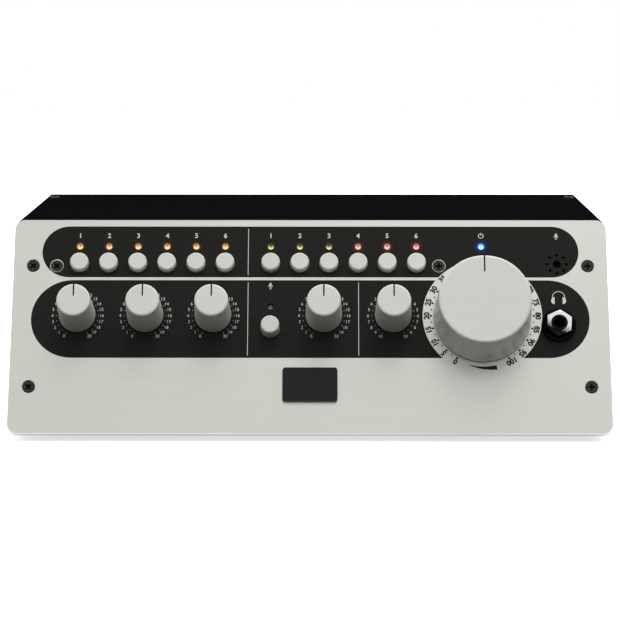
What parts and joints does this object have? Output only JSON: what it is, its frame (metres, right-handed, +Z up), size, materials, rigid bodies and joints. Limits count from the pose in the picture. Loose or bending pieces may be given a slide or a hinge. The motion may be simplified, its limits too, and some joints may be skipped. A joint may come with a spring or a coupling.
{
  "type": "studio monitor controller",
  "caption": "Desktop studio monitor controller: a leaning brushed metal panel with push buttons, lamps, level knobs, a large volume knob and a headphone socket on a folded steel case.",
  "frame": {"origin": "middle of the bounding box's bottom face: on the table, under the middle of the case", "axes": "+X to the right for someone who faces the controls, +Y to the back, +Z up"},
  "size_m": [0.33, 0.2405, 0.116],
  "materials": {
    "brushed_aluminium": "fine horizontal brushing, clear anodised",
    "black_powder_coat": "fine textured powder coat, black",
    "zinc_plated_steel": "zinc plated sheet",
    "satin_knob_plastic": "satin silver-grey lacquer",
    "button_plastic": "light grey, fine satin",
    "black_screw": "black oxide, slightly glossy",
    "plated_screw": "zinc plated",
    "black_rubber": "matt",
    "badge_black": "satin black",
    "amber_lens": "clear tinted lens",
    "red_lens": "clear tinted lens",
    "blue_lens": "clear tinted lens",
    "clear_lens": "water clear lens",
    "steel_shaft": "turned",
    "plated_can": "nickel plated",
    "circuit_board": "green solder mask",
    "brass_post": "turned",
    "black_plastic": "satin moulded",
    "gloss_black_plastic": "glossy moulded",
    "chrome_nut": "polished",
    "capsule_metal": "pressed can",
    "winding_tape": "polyester tape over the windings",
    "ribbon_grey": "flat ribbon"
  },
  "bodies": {
    "case": {"front_panel": "brushed_aluminium", "bottom_chassis": "black_powder_coat", "top_cover": "black_powder_coat", "rear_panel": "black_powder_coat", "control_bracket": "zinc_plated_steel", "badge_plate": "badge_black", "feet": "black_rubber", "panel_screws": "black_screw", "bracket_screws": "black_screw", "case_screws": "black_screw", "pan_screws": "plated_screw", "potentiometers": "plated_can", "pot_nuts": "plated_can", "switch_bodies": "black_plastic", "source_leds": "amber_lens", "red_leds": "red_lens", "power_led": "blue_lens", "talk_led": "clear_lens", "control_board": "circuit_board", "main_board": "circuit_board", "board_posts": "brass_post", "capacitors": "gloss_black_plastic", "ribbon_cable": "ribbon_grey", "mic_capsule": "capsule_metal", "mic_ring": "black_rubber", "headphone_jack": "black_plastic", "headphone_washer": "gloss_black_plastic", "headphone_nut": "chrome_nut", "rear_jacks": "black_plastic", "rear_jack_nuts": "chrome_nut", "mains_inlet": "black_plastic", "rocker_frame": "black_plastic", "transformer": "winding_tape", "transformer_clamp": "zinc_plated_steel"},
    "cue_knob_1": {"cue_knob_1": "satin_knob_plastic", "cue_shaft_1": "steel_shaft"},
    "cue_knob_2": {"cue_knob_2": "satin_knob_plastic", "cue_shaft_2": "steel_shaft"},
    "cue_knob_3": {"cue_knob_3": "satin_knob_plastic", "cue_shaft_3": "steel_shaft"},
    "talk_level_knob": {"talk_level_knob": "satin_knob_plastic", "talk_level_shaft": "steel_shaft"},
    "blend_knob": {"blend_knob": "satin_knob_plastic", "blend_shaft": "steel_shaft"},
    "volume_knob": {"volume_knob": "satin_knob_plastic", "volume_shaft": "steel_shaft"},
    "source_button_1": {"source_button_1": "button_plastic"},
    "source_button_2": {"source_button_2": "button_plastic"},
    "source_button_3": {"source_button_3": "button_plastic"},
    "source_button_4": {"source_button_4": "button_plastic"},
    "source_button_5": {"source_button_5": "button_plastic"},
    "source_button_6": {"source_button_6": "button_plastic"},
    "monitor_button_1": {"monitor_button_1": "button_plastic"},
    "monitor_button_2": {"monitor_button_2": "button_plastic"},
    "monitor_button_3": {"monitor_button_3": "button_plastic"},
    "monitor_button_4": {"monitor_button_4": "button_plastic"},
    "monitor_button_5": {"monitor_button_5": "button_plastic"},
    "monitor_button_6": {"monitor_button_6": "button_plastic"},
    "talk_button": {"talk_button": "button_plastic"},
    "power_rocker": {"power_rocker": "gloss_black_plastic"}
  },
  "joints": [
    {"name": "cue_turn_1", "type": "hinge", "parent": "case", "child": "cue_knob_1", "pos_m": [-0.1286, -0.08376, 0.06527], "axis": [0, -0.891, 0.454], "range_deg": [-150, 150]},
    {"name": "cue_turn_2", "type": "hinge", "parent": "case", "child": "cue_knob_2", "pos_m": [-0.0911, -0.08376, 0.06527], "axis": [0, -0.891, 0.454], "range_deg": [-150, 150]},
    {"name": "cue_turn_3", "type": "hinge", "parent": "case", "child": "cue_knob_3", "pos_m": [-0.0536, -0.08376, 0.06527], "axis": [0, -0.891, 0.454], "range_deg": [-150, 150]},
    {"name": "talk_level_turn", "type": "hinge", "parent": "case", "child": "talk_level_knob", "pos_m": [0.0076, -0.08376, 0.06527], "axis": [0, -0.891, 0.454], "range_deg": [-150, 150]},
    {"name": "blend_turn", "type": "hinge", "parent": "case", "child": "blend_knob", "pos_m": [0.0458, -0.08376, 0.06527], "axis": [0, -0.891, 0.454], "range_deg": [-150, 150]},
    {"name": "volume_turn", "type": "hinge", "parent": "case", "child": "volume_knob", "pos_m": [0.0951, -0.08376, 0.06527], "axis": [0, -0.891, 0.454], "range_deg": [-150, 150]},
    {"name": "source_press_1", "type": "slide", "parent": "case", "child": "source_button_1", "axis": [0, 0.891, -0.454], "range_m": [0, 0.002], "stiffness_N_per_m": 500, "springref_m": -0.001},
    {"name": "source_press_2", "type": "slide", "parent": "case", "child": "source_button_2", "axis": [0, 0.891, -0.454], "range_m": [0, 0.002], "stiffness_N_per_m": 500, "springref_m": -0.001},
    {"name": "source_press_3", "type": "slide", "parent": "case", "child": "source_button_3", "axis": [0, 0.891, -0.454], "range_m": [0, 0.002], "stiffness_N_per_m": 500, "springref_m": -0.001},
    {"name": "source_press_4", "type": "slide", "parent": "case", "child": "source_button_4", "axis": [0, 0.891, -0.454], "range_m": [0, 0.002], "stiffness_N_per_m": 500, "springref_m": -0.001},
    {"name": "source_press_5", "type": "slide", "parent": "case", "child": "source_button_5", "axis": [0, 0.891, -0.454], "range_m": [0, 0.002], "stiffness_N_per_m": 500, "springref_m": -0.001},
    {"name": "source_press_6", "type": "slide", "parent": "case", "child": "source_button_6", "axis": [0, 0.891, -0.454], "range_m": [0, 0.002], "stiffness_N_per_m": 500, "springref_m": -0.001},
    {"name": "monitor_press_1", "type": "slide", "parent": "case", "child": "monitor_button_1", "axis": [0, 0.891, -0.454], "range_m": [0, 0.002], "stiffness_N_per_m": 500, "springref_m": -0.001},
    {"name": "monitor_press_2", "type": "slide", "parent": "case", "child": "monitor_button_2", "axis": [0, 0.891, -0.454], "range_m": [0, 0.002], "stiffness_N_per_m": 500, "springref_m": -0.001},
    {"name": "monitor_press_3", "type": "slide", "parent": "case", "child": "monitor_button_3", "axis": [0, 0.891, -0.454], "range_m": [0, 0.002], "stiffness_N_per_m": 500, "springref_m": -0.001},
    {"name": "monitor_press_4", "type": "slide", "parent": "case", "child": "monitor_button_4", "axis": [0, 0.891, -0.454], "range_m": [0, 0.002], "stiffness_N_per_m": 500, "springref_m": -0.001},
    {"name": "monitor_press_5", "type": "slide", "parent": "case", "child": "monitor_button_5", "axis": [0, 0.891, -0.454], "range_m": [0, 0.002], "stiffness_N_per_m": 500, "springref_m": -0.001},
    {"name": "monitor_press_6", "type": "slide", "parent": "case", "child": "monitor_button_6", "axis": [0, 0.891, -0.454], "range_m": [0, 0.002], "stiffness_N_per_m": 500, "springref_m": -0.001},
    {"name": "talk_press", "type": "slide", "parent": "case", "child": "talk_button", "axis": [0, 0.891, -0.454], "range_m": [0, 0.002], "stiffness_N_per_m": 500, "springref_m": -0.001},
    {"name": "power_switch", "type": "hinge", "parent": "case", "child": "power_rocker", "pos_m": [-0.10275, 0.11473, 0.032], "axis": [1, 0, 0], "range_deg": [-22, 0]}
  ]
}
